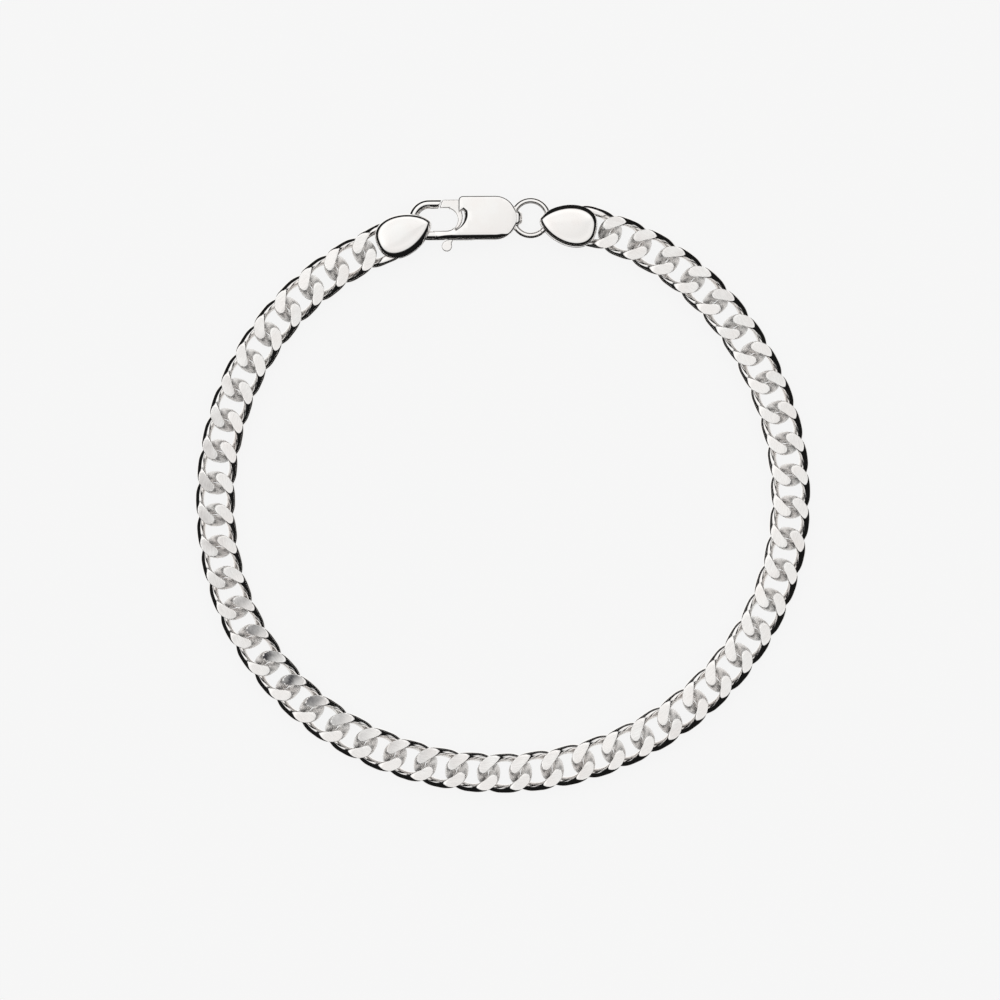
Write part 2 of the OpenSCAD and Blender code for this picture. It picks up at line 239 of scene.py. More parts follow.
def link_template(ends):
    """One link round the origin, filed flat on both faces: points, faces, and which are flats."""
    skin = []
    for i in range(LINK_RINGS):
        t = 2 * math.pi * (i + 0.5) / LINK_RINGS
        along_side = math.sin(t) ** 4
        tall = 1 + (SIDE_HEIGHT - 1) * along_side
        side_power = OUTER_POWER if math.sin(t) > 0 else INNER_POWER
        p = link_line(t, ends)
        along = (link_line(t + 0.02, ends) - link_line(t - 0.02, ends)).normalized()
        side = along.cross(Vector((0, 0, 1))).normalized()
        up = side.cross(along)
        for k in range(WIRE_SIDES):
            a = 2 * math.pi * (k + 0.5) / WIRE_SIDES
            worn = side_power if math.cos(a) > 0 else HOLE_POWER
            power = WIRE_POWER + (worn - WIRE_POWER) * along_side
            wide, high = signed_power(math.cos(a), 2 / power), signed_power(math.sin(a), 2 / power)
            skin.append(p + wire_radius(t) * (wide * side + tall * high * up))
    faces = []
    for i in range(LINK_RINGS):
        for k in range(WIRE_SIDES):
            a, b = i * WIRE_SIDES, (i + 1) % LINK_RINGS * WIRE_SIDES
            m = (k + 1) % WIRE_SIDES
            faces.append([a + k, b + k, b + m, a + m])
    cut_away = [abs(p.z) > flat_height(p.y) for p in skin]
    return [filed(p) for p in skin], faces, [all(cut_away[v] for v in f) for f in faces]


def unpolished_share(t):
    """1 where a link's wire lies between its neighbours, out of reach of the polishing wheel."""
    return smooth_step((0.85 - abs(signed_power(math.sin(t), 2 / OVAL_POWER))) / 0.4)


def wobble(i, phase):
    """A steady made-up number from -1 to 1 for link i."""
    return math.sin(i * 12.9898 + phase * 78.233) * math.cos(i * 4.1414 + phase * 2.7)


# How far a link tilts as it lies, and how much of that tilt at its rim lifts it
LINK_ROLL, LINK_PITCHING = math.radians(0.6), math.radians(0.5)
ROLL_LIFT, PITCH_LIFT = 0.6, 0.9
# Painted dark reflections on the flats, in stretches round the loop: how dark, and their middle and
# reach in degrees
OUTER_PAINTED_REFLECTIONS = ((0.26, 176, 48), (0.07, 60, 50))
INNER_PAINTED_REFLECTIONS = ((0.42, 222, 26), (0.15, 232, 60))
# How much the painted dark reflection on an inner flat grows towards the end of its link
END_PAINTED_REFLECTION = 0.7
# How much a link differs in tone by itself, and how far the file's marks shift to the next link
OWN_TONE, GRAIN_SHIFT = 0.035, 7


def link_matrix(i):
    """Place of link i, with the small tilt that each link has as it lies."""
    s = arc_at(FIRST_LINK_ANGLE) + i * LINK_PITCH
    before, after = route_point(s - LINK_PITCH / 2), route_point(s + LINK_PITCH / 2)
    centre, way = (before + after) / 2, after - before
    free = 0 if i in (0, LINK_COUNT - 1) else 1
    roll = free * LINK_ROLL * wobble(i, 1)
    pitch = free * LINK_PITCHING * wobble(i, 2)
    lift = abs(math.sin(roll)) * CHAIN_WIDTH / 2 * ROLL_LIFT
    lift += abs(math.sin(pitch)) * LINK_REACH * PITCH_LIFT
    return (
        Matrix.Translation((centre.x, centre.y, CHAIN_MID + lift))
        @ Matrix.Rotation(math.atan2(way.y, way.x), 4, "Z")
        @ Matrix.Rotation(roll, 4, "X")
        @ Matrix.Rotation(pitch, 4, "Y")
    )


def mesh_object(name, points, faces, materials, kinds=None):
    """A mesh object from points in millimetres. kinds gives each face its material."""
    mesh = bpy.data.meshes.new(name)
    mesh.from_pydata([Vector(p) * MM for p in points], [], faces)
    for m in materials:
        mesh.materials.append(m)
    mesh.polygons.foreach_set("use_smooth", [True] * len(faces))
    if kinds:
        mesh.polygons.foreach_set("material_index", kinds)
    mesh.set_sharp_from_angle(angle=SHARP_ANGLE)
    obj = bpy.data.objects.new(name, mesh)
    bpy.context.scene.collection.objects.link(obj)
    return obj


def hill(angle, middle, reach):
    """Smooth hill of height 1 round an angle, in degrees."""
    away = (angle - middle + 180) % 360 - 180
    return smooth_step(1 - abs(away) / reach)


def flat_painted_reflection(angle, p):
    """Painted dark reflection on a link's flats at a point of the link, by the link's place round
    the loop.
    """
    painted_reflections_and_tones = OUTER_PAINTED_REFLECTIONS if p.y > 0 else INNER_PAINTED_REFLECTIONS
    painted_reflection_and_tone = sum(reflection_darkness * hill(angle, middle, reach) for reflection_darkness, middle, reach in painted_reflections_and_tones)
    if p.y > 0:
        return painted_reflection_and_tone
    share = smooth_step((p.x / LINK_REACH - 0.4) / 0.55)
    return painted_reflection_and_tone * (1 + END_PAINTED_REFLECTION * (2 * share - 1))


def make_chain(polished, flats):
    """The chain's links as one mesh, with each point's painted dark reflection plus its link's own
    tone, and the line of the file's marks.
    """
    templates = {ends: link_template(ends) for ends in ((0, 1), (1, 1), (1, 0))}
    points, faces, kinds, painted_reflections_and_tones, grain = [], [], [], [], []
    rings = [2 * math.pi * (i + 0.5) / LINK_RINGS for i in range(LINK_RINGS)]
    unpolished = [unpolished_share(t) for t in rings for _ in range(WIRE_SIDES)]
    for i in range(LINK_COUNT):
        ends = (0 if i == 0 else 1, 0 if i == LINK_COUNT - 1 else 1)
        shape, sides, flat = templates[ends]
        place, start = link_matrix(i), len(points)
        points += [place @ p for p in shape]
        faces += [[start + v for v in f] for f in sides]
        kinds += [1 if f else 0 for f in flat]
        angle = math.degrees(math.atan2(place.translation.y, place.translation.x))
        own = OWN_TONE * wobble(i, 3)
        # Painted dark reflection on the flats, plus each link's own random tone
        painted_reflections_and_tones += [flat_painted_reflection(angle, p) + own for p in shape]
        grain += [(p.x + GRAIN_SHIFT * i, p.y) for p in shape]
    chain = mesh_object("links", points, faces, [polished, flats], kinds)
    for name, values in (("painted_reflection_and_tone", painted_reflections_and_tones), ("unpolished", unpolished * LINK_COUNT)):
        chain.data.attributes.new(name, "FLOAT", "POINT").data.foreach_set("value", values)
    along = chain.data.uv_layers.new(name="along_link")
    along.data.foreach_set("uv", [c for loop in chain.data.loops for c in grain[loop.vertex_index]])
    return chain


# Terminals

# Rows of the dome: its height, its share of the outline, and how much less that share is
# where the dome slopes widest
DOME = (
    (0, 1, 0), (0.06, 1, 0), (0.16, 0.996, 0.035), (0.3, 0.982, 0.08), (0.43, 0.956, 0.108),
    (0.55, 0.924, 0.135), (0.65, 0.888, 0.157), (0.74, 0.844, 0.18), (0.81, 0.798, 0.2),
    (0.86, 0.75, 0.215), (0.905, 0.688, 0.22), (0.94, 0.61, 0.212), (0.966, 0.505, 0.19),
    (0.985, 0.37, 0.145), (0.996, 0.2, 0.08),
)
LEAF_STEPS = 96
POST_SIDES = 32
# Softness of the back leaf's edges
LEAF_EDGE = 0.06


def drop_width(t):
    """Width of a drop's outline, narrow at its tip and round at its wide end."""
    return math.sin(t) ** 0.8 * math.sin(t / 2) ** 0.5


DROP_WIDEST = max(drop_width(math.pi * i / 400) for i in range(1, 400))


def leaf_outline():
    """Outline of a terminal's leaf, from its tip round to its wide end and back."""
    middle, half = TIP_REACH - LEAF_LENGTH / 2, LEAF_LENGTH / 2
    points = []
    for i in range(LEAF_STEPS):
        t = 2 * math.pi * i / LEAF_STEPS
        h, sign = (t, 1) if t <= math.pi else (2 * math.pi - t, -1)
        wide = drop_width(max(0.0, min(math.pi, h))) / DROP_WIDEST if 0 < i else 0
        points.append((middle + half * math.cos(t), sign * LEAF_WIDTH / 2 * wide))
    return points


def lathe_like(rows, closing):
    """Closed skin through rows of equal length. closing holds the points at its two poles."""
    points = [p for row in rows for p in row]
    n = len(rows[0])
    faces = []
    for r in range(len(rows) - 1):
        for i in range(n):
            j = (i + 1) % n
            faces.append([r * n + i, r * n + j, (r + 1) * n + j, (r + 1) * n + i])
    low, high = len(points), len(points) + 1
    last = (len(rows) - 1) * n
    for i in range(n):
        j = (i + 1) % n
        faces.append([low, j, i])
        faces.append([high, last + i, last + j])
    return points + list(closing), faces


def dome():
    """Domed front leaf, with a broad slope along one side."""
    middle = TIP_REACH - LEAF_LENGTH / 2
    rows = []
    for height, whole, flank in DOME:
        row = []
        for i, (x, y) in enumerate(leaf_outline()):
            turn = max(0.0, -math.sin(2 * math.pi * i / LEAF_STEPS))
            share = whole - flank * turn ** 1.5
            row.append((middle + (x - middle) * share, y * share, LEAF_BASE + LEAF_CROWN * height))
        rows.append(row)
    return lathe_like(rows, [(middle, 0, LEAF_BASE), (middle, 0, LEAF_BASE + LEAF_CROWN)])


def back_leaf():
    """Plain back leaf with softly broken edges."""
    outline = leaf_outline()
    middle, soft = TIP_REACH - LEAF_LENGTH / 2, LEAF_EDGE
    rows = []
    for z, lost in ((0, soft), (soft, 0), (LEAF_WALL - soft, 0), (LEAF_WALL, soft)):
        share = 1 - 2 * lost / LEAF_WIDTH
        rows.append([(middle + (x - middle) * share, y * share, z) for x, y in outline])
    return lathe_like(rows, [(middle, 0, 0), (middle, 0, LEAF_WALL)])


def post(x, radius):
    """Round post between the two leaves, sunk into both."""
    low, high = LEAF_WALL / 2, LEAF_BASE + LEAF_CROWN / 4
    angles = [2 * math.pi * k / POST_SIDES for k in range(POST_SIDES)]
    rows = [
        [(x + radius * math.cos(a), radius * math.sin(a), z) for a in angles] for z in (low, high)
    ]
    return lathe_like(rows, [(x, 0, low), (x, 0, high)])


def make_terminal(name, place, aim, polished):
    """A terminal with its post at a place, turned towards the point that it pulls at."""
    points, faces = [], []
    for shape, sides in (dome(), back_leaf(), post(0, POST_D / 2), post(FOLD_REACH, FOLD_D / 2)):
        start = len(points)
        points += shape
        faces += [[start + v for v in f] for f in sides]
    turn = math.atan2(aim[1] - place[1], aim[0] - place[0])
    matrix = Matrix.Translation((place[0], place[1], 0)) @ Matrix.Rotation(turn, 4, "Z")
    return mesh_object(name, [matrix @ Vector(p) for p in points], faces, [polished])


# Clasp and jump ring

def clasp_point(x, y):
    """A point given in the clasp's own frame."""
    c, s = math.cos(CLASP_TURN), math.sin(CLASP_TURN)
    return CLASP_PLACE[0] + x * c - y * s, CLASP_PLACE[1] + x * s + y * c


def arc_points(centre, radius, start, end, steps):
    """Points of an arc, with both its ends."""
    angles = [start + (end - start) * i / steps for i in range(steps + 1)]
    return [(centre[0] + radius * math.cos(a), centre[1] + radius * math.sin(a)) for a in angles]


def ray_to_slit(angle):
    """Point of the slit's round edge, seen from the opening's centre at an angle."""
    ux, uy = math.cos(angle), math.sin(angle)
    sx, sy = SLIT_CENTRE[0] - OPENING_RIGHT, SLIT_CENTRE[1] - OPENING_Y
    along = ux * sx + uy * sy
    t = along + math.sqrt(along * along - sx * sx - sy * sy + SLIT_R * SLIT_R)
    return OPENING_RIGHT + t * ux, OPENING_Y + t * uy


def body_outline():
    """Outline of the clasp's body from above, counterclockwise: x, y and the edge's radius."""
    quarter = math.pi / 2
    run = BODY_LEFT - LOW_ARM_LEFT
    points = []
    for i in range(ARM_STEPS + 1):
        edge = ARM_EDGE + (LOW_EDGE - ARM_EDGE) * i / ARM_STEPS
        points.append((LOW_ARM_LEFT + run * i / ARM_STEPS, -HALF_WIDTH, edge))
    for sign, start in ((-1, -quarter), (1, 0)):
        centre = (BODY_RIGHT - END_R, sign * (HALF_WIDTH - END_R))
        for x, y in arc_points(centre, END_R, start, start + quarter, 24):
            low = smooth_step((-(y - centre[1]) / END_R - 0.75) / 0.25)
            beside_tail = smooth_step(2 * abs(y) / TAIL_WIDTH - 0.4)
            edge = TAIL_EDGE + (HIGH_EDGE - TAIL_EDGE) * beside_tail + (LOW_EDGE - HIGH_EDGE) * low
            points.append((x, y, edge))
    corner = (BODY_LEFT + CORNER_R, HALF_WIDTH - CORNER_R)
    points += [(x, y, HIGH_EDGE) for x, y in arc_points(corner, CORNER_R, quarter, 2 * quarter, 8)]
    slit_top = OPENING_Y + (BODY_LEFT - OPENING_RIGHT) * math.tan(SLIT_HIGH)
    points.append((BODY_LEFT, slit_top, INNER_EDGE))
    top, low = ray_to_slit(SLIT_HIGH), ray_to_slit(SLIT_LOW)
    start = math.atan2(top[1] - SLIT_CENTRE[1], top[0] - SLIT_CENTRE[0])
    end = math.atan2(low[1] - SLIT_CENTRE[1], low[0] - SLIT_CENTRE[0])
    for i, (x, y) in enumerate(arc_points(SLIT_CENTRE, SLIT_R, start, end, SLIT_STEPS)):
        share = smooth_step(1.15 * (1 - i / SLIT_STEPS)) * smooth_step(0.3 + i / 6)
        points.append((x, y, INNER_EDGE + (SLIT_EDGE - INNER_EDGE) * share))
    opening = arc_points((OPENING_RIGHT, OPENING_Y), OPENING_R, SLIT_LOW, -quarter, 10)
    points += [(x, y, INNER_EDGE) for x, y in opening]
    points.append((LOW_ARM_LEFT, OPENING_Y - OPENING_R, INNER_EDGE))
    return points


def inset(points, share):
    """The outline moved inwards by a share of each point's own edge radius."""
    moved = []
    for i, (x, y, r) in enumerate(points):
        before, after = points[i - 1], points[(i + 1) % len(points)]
        a = Vector((x - before[0], y - before[1])).normalized()
        b = Vector((after[0] - x, after[1] - y)).normalized()
        along = (a + b).normalized()
        reach = r * share / max(0.5, along.dot(a))
        moved.append((x - along.y * reach, y + along.x * reach))
    return moved


def body_rows(outline):
    """The body's outline at each height of its rounded edges, from the underside to the top."""
    rows = []
    for face in (-1, 1):
        for k in range(EDGE_STEPS + 1) if face > 0 else range(EDGE_STEPS, -1, -1):
            a = math.pi / 2 * k / EDGE_STEPS
            rise = math.sin(a) ** (2 / EDGE_POWER)
            flat = inset(outline, 1 - math.cos(a) ** (2 / EDGE_POWER))
            rows.append([
                (x, y, CLASP_MID + face * (CLASP_MID - EDGE_DEPTH * r * (1 - rise)))
                for (x, y), (_, _, r) in zip(flat, outline)
            ])
    return rows


def cut_plate(bm, run):
    """Cuts edges across the body, so that its faces can be thinned and crowned smoothly."""
    across, along = Vector((1, 0, 0)), Vector((0, 1, 0))
    cuts = [(Vector((BODY_LEFT - run * i / ARM_STEPS, 0, 0)), across) for i in range(ARM_STEPS)]
    for i in range(1, CROWN_STEPS):
        share = i / CROWN_STEPS
        x, y = BODY_LEFT + (BODY_RIGHT - BODY_LEFT) * share, HALF_WIDTH * (2 * share - 1)
        cuts += [(Vector((x, 0, 0)), across), (Vector((0, y, 0)), along)]
    for place, way in cuts:
        whole = bm.verts[:] + bm.edges[:] + bm.faces[:]
        bmesh.ops.bisect_plane(bm, geom=whole, plane_co=place, plane_no=way)


def body_block():
    """The body as a plate with rounded edges, thinned along the lower arm."""
    outline = body_outline()
    bm = bmesh.new()
    rings = [[bm.verts.new(p) for p in row] for row in body_rows(outline)]
    n = len(outline)
    for low, high in zip(rings, rings[1:]):
        for i in range(n):
            j = (i + 1) % n
            bm.faces.new((low[i], low[j], high[j], high[i]))
    bm.faces.new(rings[-1])
    bm.faces.new(list(reversed(rings[0])))
    run = BODY_LEFT - LOW_ARM_LEFT
    cut_plate(bm, run)
    middle, half = (BODY_LEFT + BODY_RIGHT) / 2, (BODY_RIGHT - BODY_LEFT) / 2
    for v in bm.verts:
        lost = (CLASP_THICKNESS - HOOK_THICKNESS) / 2 * smooth_step((BODY_LEFT - v.co.x) / run)
        off = v.co.z - CLASP_MID
        u, w = min(1.0, abs(v.co.x - middle) / half), v.co.y / HALF_WIDTH
        crown = 1 - BODY_CROWN * (u * u + w * w) / 2
        v.co.z = CLASP_MID + math.copysign(max(0.0, abs(off) - lost) * crown, off)
    bmesh.ops.triangulate(bm, faces=bm.faces[:])
    bmesh.ops.recalc_face_normals(bm, faces=bm.faces[:])
    return from_bmesh("clasp_block", bm)


def from_bmesh(name, bm):
    """A mesh object, still in millimetres, from a bmesh."""
    mesh = bpy.data.meshes.new(name)
    bm.to_mesh(mesh)
    bm.free()
    obj = bpy.data.objects.new(name, mesh)
    bpy.context.scene.collection.objects.link(obj)
    return obj


def box(name, low, high):
    """Box between two opposite corners."""
    bm = bmesh.new()
    bmesh.ops.create_cube(bm, size=1)
    for v in bm.verts:
        v.co = Vector([a + (0.5 + c) * (b - a) for a, b, c in zip(low, high, v.co)])
    return from_bmesh(name, bm)


def spun(name, profile, place, axis, steps=64):
    """Solid of revolution. profile lists (distance along the axis, radius) from end to end."""
    along = Vector(axis)
    side = along.orthogonal().normalized()
    other = along.cross(side)
    rows = []
    for d, r in profile:
        rows.append([
            Vector(place) + d * along + r * (math.cos(a) * side + math.sin(a) * other)
            for a in (2 * math.pi * i / steps for i in range(steps))
        ])
    ends = (Vector(place) + profile[0][0] * along, Vector(place) + profile[-1][0] * along)
    points, faces = lathe_like(rows, ends)
    bm = bmesh.new()
    verts = [bm.verts.new(p) for p in points]
    for face in faces:
        bm.faces.new([verts[v] for v in face])
    bmesh.ops.recalc_face_normals(bm, faces=bm.faces[:])
    return from_bmesh(name, bm)


def combine(obj, steps):
    """Runs boolean steps on obj and returns the mesh that results."""
    for operation, other in steps:
        modifier = obj.modifiers.new(other.name, "BOOLEAN")
        modifier.operation = operation
        modifier.solver = "EXACT"
        modifier.object = other
    graph = bpy.context.evaluated_depsgraph_get()
    mesh = bpy.data.meshes.new_from_object(obj.evaluated_get(graph))
    for used in [obj] + [other for _, other in steps]:
        bpy.data.objects.remove(used)
    return mesh


def hook_path():
    """Middle line of the hook, from inside the lower arm round to its tip."""
    y = HOOK_MID_R
    path = [(LOW_ARM_LEFT + 0.5, OPENING_Y - y)]
    path += arc_points((OPENING_LEFT, OPENING_Y), HOOK_MID_R, -math.pi / 2, -3 * math.pi / 2, 40)
    path.append((TIP_X - TIP_SLANT - 0.1, OPENING_Y + y))
    return path


def hook_shape():
    """Hook with a rounded section and a slanted, softened tip."""
    path = hook_path()
    rows = []
    for i, (x, y) in enumerate(path):
        a, b = path[max(0, i - 1)], path[min(len(path) - 1, i + 1)]
        along = Vector((b[0] - a[0], b[1] - a[1])).normalized()
        share = smooth_step((y - OPENING_Y + OPENING_R) / OPENING_R)
        powers = [a + (b - a) * share for a, b in zip(LOW_POWERS, HIGH_POWERS)]
        rows.append(hook_row(x, y, Vector((-along.y, along.x)), 1, 0, powers))
    for x, scale in ((TIP_X - TIP_SLANT / 2 - 0.06, 1), (TIP_X - TIP_SLANT / 2, 0.93),
                     (TIP_X - TIP_SLANT / 2 + 0.02, 0.8)):
        rows.append(
            hook_row(x, OPENING_Y + HOOK_MID_R, Vector((0, 1)), scale, TIP_SLANT / 2, HIGH_POWERS)
        )
    start, end = path[0], (TIP_X - TIP_SLANT / 2 + 0.02, OPENING_Y + HOOK_MID_R)
    return lathe_like(rows, [(*start, CLASP_MID), (*end, CLASP_MID)])


def hook_row(x, y, side, scale, slant, powers):
    """Section of the hook. powers holds its shape on the outer and inner side."""
    row = []
    for k in range(HOOK_SIDES):
        a = 2 * math.pi * k / HOOK_SIDES
        power = 2 / powers[0 if math.cos(a) > 0 else 1]
        wide = scale * HOOK_WIDTH / 2 * signed_power(math.cos(a), power)
        high = scale * HOOK_THICKNESS / 2 * signed_power(math.sin(a), power)
        shift = slant * wide / (HOOK_WIDTH / 2)
        row.append((x + side.x * wide + shift, y + side.y * wide, CLASP_MID + high))
    return row


def tail_profile():
    """Rounded barrel that the jump ring runs through."""
    half = TAIL_WIDTH / 2
    along, rim = TAIL_POWERS
    stops = [-half * math.cos(math.pi * i / TAIL_STEPS) for i in range(TAIL_STEPS + 1)]
    return [(y, TAIL_R * max(0.02, 1 - abs(y / half) ** along) ** rim) for y in stops]


def make_clasp(polished):
    """The clasp's body with its tail, slot, eye, pivot pin and hook."""
    reach = 2 * HALF_WIDTH
    tail = spun("tail", tail_profile(), (EYE_X, 0, CLASP_MID), (0, 1, 0))
    low, high = CLASP_MID - SLOT_HALF, CLASP_MID + SLOT_HALF
    slot = box("slot", (SLOT_LEFT, -reach, low), (SLOT_RIGHT, reach, high))
    eye = spun("eye", ((-reach, EYE_R), (reach, EYE_R)), (EYE_X, 0, CLASP_MID), (0, 1, 0))
    sunk, radius = PIN_D / 2, PIN_D / 2
    ends = ((sunk, radius), (CLASP_THICKNESS - sunk, radius))
    pin = spun("pin", ends, (*PIVOT, 0), (0, 0, 1), 32)
    mesh = combine(body_block(), [
        ("UNION", tail), ("DIFFERENCE", slot), ("DIFFERENCE", eye), ("UNION", pin),
    ])
    points, faces = [v.co.copy() for v in mesh.vertices], [list(p.vertices) for p in mesh.polygons]
    start = len(points)
    hook_points, hook_faces = hook_shape()
    points += [Vector(p) for p in hook_points]
    faces += [[start + v for v in f] for f in hook_faces]
    place = Matrix.Translation((*CLASP_PLACE, 0)) @ Matrix.Rotation(CLASP_TURN, 4, "Z")
    clasp = mesh_object("clasp_rounded", [place @ p for p in points], faces, [polished])
    clasp.modifiers.new("flat_faces", "WEIGHTED_NORMAL").keep_sharp = True
    return clasp


def dress_lever(handled):
    """The lever keeps its own shape, with its edges rounded."""
    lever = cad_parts["clasp_lever"]
    for slot in lever.material_slots:
        slot.material = handled
    lever.modifiers.new("join", "WELD").merge_threshold = 1e-6
    whole_faces = lever.modifiers.new("whole_faces", "DECIMATE")
    whole_faces.decimate_type = "DISSOLVE"
    whole_faces.angle_limit = math.radians(1)
    rounding = lever.modifiers.new("rounding", "BEVEL")
    rounding.use_clamp_overlap = False
    rounding.width = LEVER_EDGE * MM
    rounding.segments = 4
    rounding.angle_limit = math.radians(30)
    lever.modifiers.new("flat_faces", "WEIGHTED_NORMAL").keep_sharp = True


def make_ring(polished):
    """Jump ring of round wire, with the fine seam where its ends meet."""
    rings, sides = 360, 24
    points, faces = [], []
    for i in range(rings):
        a = 2 * math.pi * i / rings
        away = (a - SEAM_ANGLE + math.pi) % (2 * math.pi) - math.pi
        r = RING_WIRE / 2 * (1 - SEAM_DEPTH * math.exp(-((away / SEAM_WIDTH) ** 2)))
        for k in range(sides):
            b = 2 * math.pi * k / sides
            reach = RING_MID_R + r * signed_power(math.cos(b), 2 / RING_POWER)
            points.append((
                RING_CENTRE[0] + reach * math.cos(a), RING_CENTRE[1] + reach * math.sin(a),
                CLASP_MID + r * signed_power(math.sin(b), 2 / RING_POWER),
            ))
            m, j = (k + 1) % sides, (i + 1) % rings
            faces.append([i * sides + k, j * sides + k, j * sides + m, i * sides + m])
    return mesh_object("ring_wire", points, faces, [polished])


# Materials

SILVER = (0.955, 0.95, 0.94, 1)
WARM_SILVER = (0.93, 0.875, 0.85, 1)
# Dark silver that the flats are mixed towards, for painted dark reflections and for the file's
# marks
DARK_REFLECTION_AND_MARK_SILVER = (0.05, 0.05, 0.055, 1)
# How much rougher the silver is where it's unpolished
UNPOLISHED = 0.42
# Height of the slow swells that polishing leaves, in millimetres
SWELL = 0.05
# Repeats per metre of the wear and of the swells
WEAR_SCALE, SWELL_SCALE = 420, 160
# How far the wear warms the colour, how unevenly the painted dark reflection darkens a flat, and
# how much the file's marks darken it, each as the least and the most
WARMTH, UNEVENNESS, MARKS = (-0.4, 0.9), (-0.3, 2.3), (-0.13, 0.19)
# The file's marks run along the flats, across the line of the chain
GRAIN_TURN = math.radians(40)


def noise(nodes, scale, detail, roughness=0.5):
    """A noise texture."""
    node = nodes.new("ShaderNodeTexNoise")
    node.inputs["Scale"].default_value = scale
    node.inputs["Detail"].default_value = detail
    node.inputs["Roughness"].default_value = roughness
    return node


def spread(nodes, links, source, low, high):
    """Maps a 0 to 1 value to low to high."""
    node = nodes.new("ShaderNodeMapRange")
    node.inputs["To Min"].default_value = low
    node.inputs["To Max"].default_value = high
    links.new(source, node.inputs["Value"])
    return node.outputs["Result"]


def darkened_by_reflection_and_marks(nodes, links, colour, scratches, wear):
    """The colour darkened by the painted dark reflection on each flat with its link's own tone,
    unevenly, and by the file's marks.
    """
    painted_reflection_and_tone = nodes.new("ShaderNodeAttribute")
    painted_reflection_and_tone.attribute_name = "painted_reflection_and_tone"
    uneven = nodes.new("ShaderNodeMath")
    uneven.operation = "MULTIPLY"
    links.new(painted_reflection_and_tone.outputs["Fac"], uneven.inputs[0])
    links.new(spread(nodes, links, wear, *UNEVENNESS), uneven.inputs[1])
    total = nodes.new("ShaderNodeMath")
    links.new(uneven.outputs["Value"], total.inputs[0])
    links.new(spread(nodes, links, scratches, *MARKS), total.inputs[1])
    mix = nodes.new("ShaderNodeMix")
    mix.data_type = "RGBA"
    # Dark silver for the painted dark reflections and the file's marks
    mix.inputs["B"].default_value = DARK_REFLECTION_AND_MARK_SILVER
    links.new(total.outputs["Value"], mix.inputs["Factor"])
    links.new(colour, mix.inputs["A"])
    return mix.outputs["Result"]


def roughened(nodes, links, rough):
    """The roughness raised where the polishing wheel doesn't reach."""
    between = nodes.new("ShaderNodeAttribute")
    between.attribute_name = "unpolished"
    total = nodes.new("ShaderNodeMath")
    total.operation = "MULTIPLY_ADD"
    total.inputs[1].default_value = UNPOLISHED
    links.new(between.outputs["Fac"], total.inputs[0])
    links.new(rough, total.inputs[2])
    return total.outputs["Value"]


def silver(name, polish, grain, scratch, edge, on_links):
    """Silver with uneven polish, fine scratches and softly rounded edges.

    polish is the range of roughness, grain the scratches' repeats per metre along and across,
    scratch their depth and edge the radius of the edges, in millimetres. on_links is for the
    filed flats, whose scratches run along each link and whose painted dark reflection and own tone
    go by the link.
    """
    material = bpy.data.materials.new(name)
    material.use_nodes = True
    nodes, links = material.node_tree.nodes, material.node_tree.links
    shader = nodes["Principled BSDF"]
    shader.inputs["Metallic"].default_value = 1.0
    where = nodes.new("ShaderNodeTexCoord")
    mapping = nodes.new("ShaderNodeMapping")
    mapping.inputs["Rotation"].default_value = (0, 0, GRAIN_TURN if on_links else 0)
    mapping.inputs["Scale"].default_value = (*grain, grain[0])
    links.new(where.outputs["UV" if on_links else "Object"], mapping.inputs["Vector"])

    wear = noise(nodes, WEAR_SCALE, 4)
    links.new(where.outputs["Object"], wear.inputs["Vector"])
    rough = spread(nodes, links, wear.outputs["Fac"], *polish)
    if not on_links:
        rough = roughened(nodes, links, rough)
    links.new(rough, shader.inputs["Roughness"])
    tint = nodes.new("ShaderNodeMix")
    tint.data_type = "RGBA"
    tint.inputs["A"].default_value = SILVER
    tint.inputs["B"].default_value = WARM_SILVER
    links.new(spread(nodes, links, wear.outputs["Fac"], *WARMTH), tint.inputs["Factor"])
    colour = tint.outputs["Result"]
    scratches = noise(nodes, 1, 3, 0.6)
    links.new(mapping.outputs["Vector"], scratches.inputs["Vector"])
    if on_links:
        # The flats get painted dark reflections, their own tone and the file's marks in their
        # colour
        colour = darkened_by_reflection_and_marks(nodes, links, colour, scratches.outputs["Fac"], wear.outputs["Fac"])
    links.new(colour, shader.inputs["Base Color"])

    bevel = nodes.new("ShaderNodeBevel")
    bevel.samples = 8
    bevel.inputs["Radius"].default_value = edge * MM
    normal = bevel.outputs["Normal"]
    swell = noise(nodes, SWELL_SCALE, 1)
    links.new(where.outputs["Object"], swell.inputs["Vector"])
    for height, depth in ((swell, SWELL), (scratches, scratch)):
        bump = nodes.new("ShaderNodeBump")
        bump.inputs["Distance"].default_value = depth * MM
        links.new(height.outputs["Fac"], bump.inputs["Height"])
        links.new(normal, bump.inputs["Normal"])
        normal = bump.outputs["Normal"]
    links.new(normal, shader.inputs["Normal"])
    return material


# Table and wall: their size in metres and how brightly the studio's own light fills them
TABLE_SIZE, TABLE_GLOW, TABLE_GREY = 6, 0.865, (0.08, 0.08, 0.08, 1)
WALL_R, WALL_GLOW = 8, 0.9


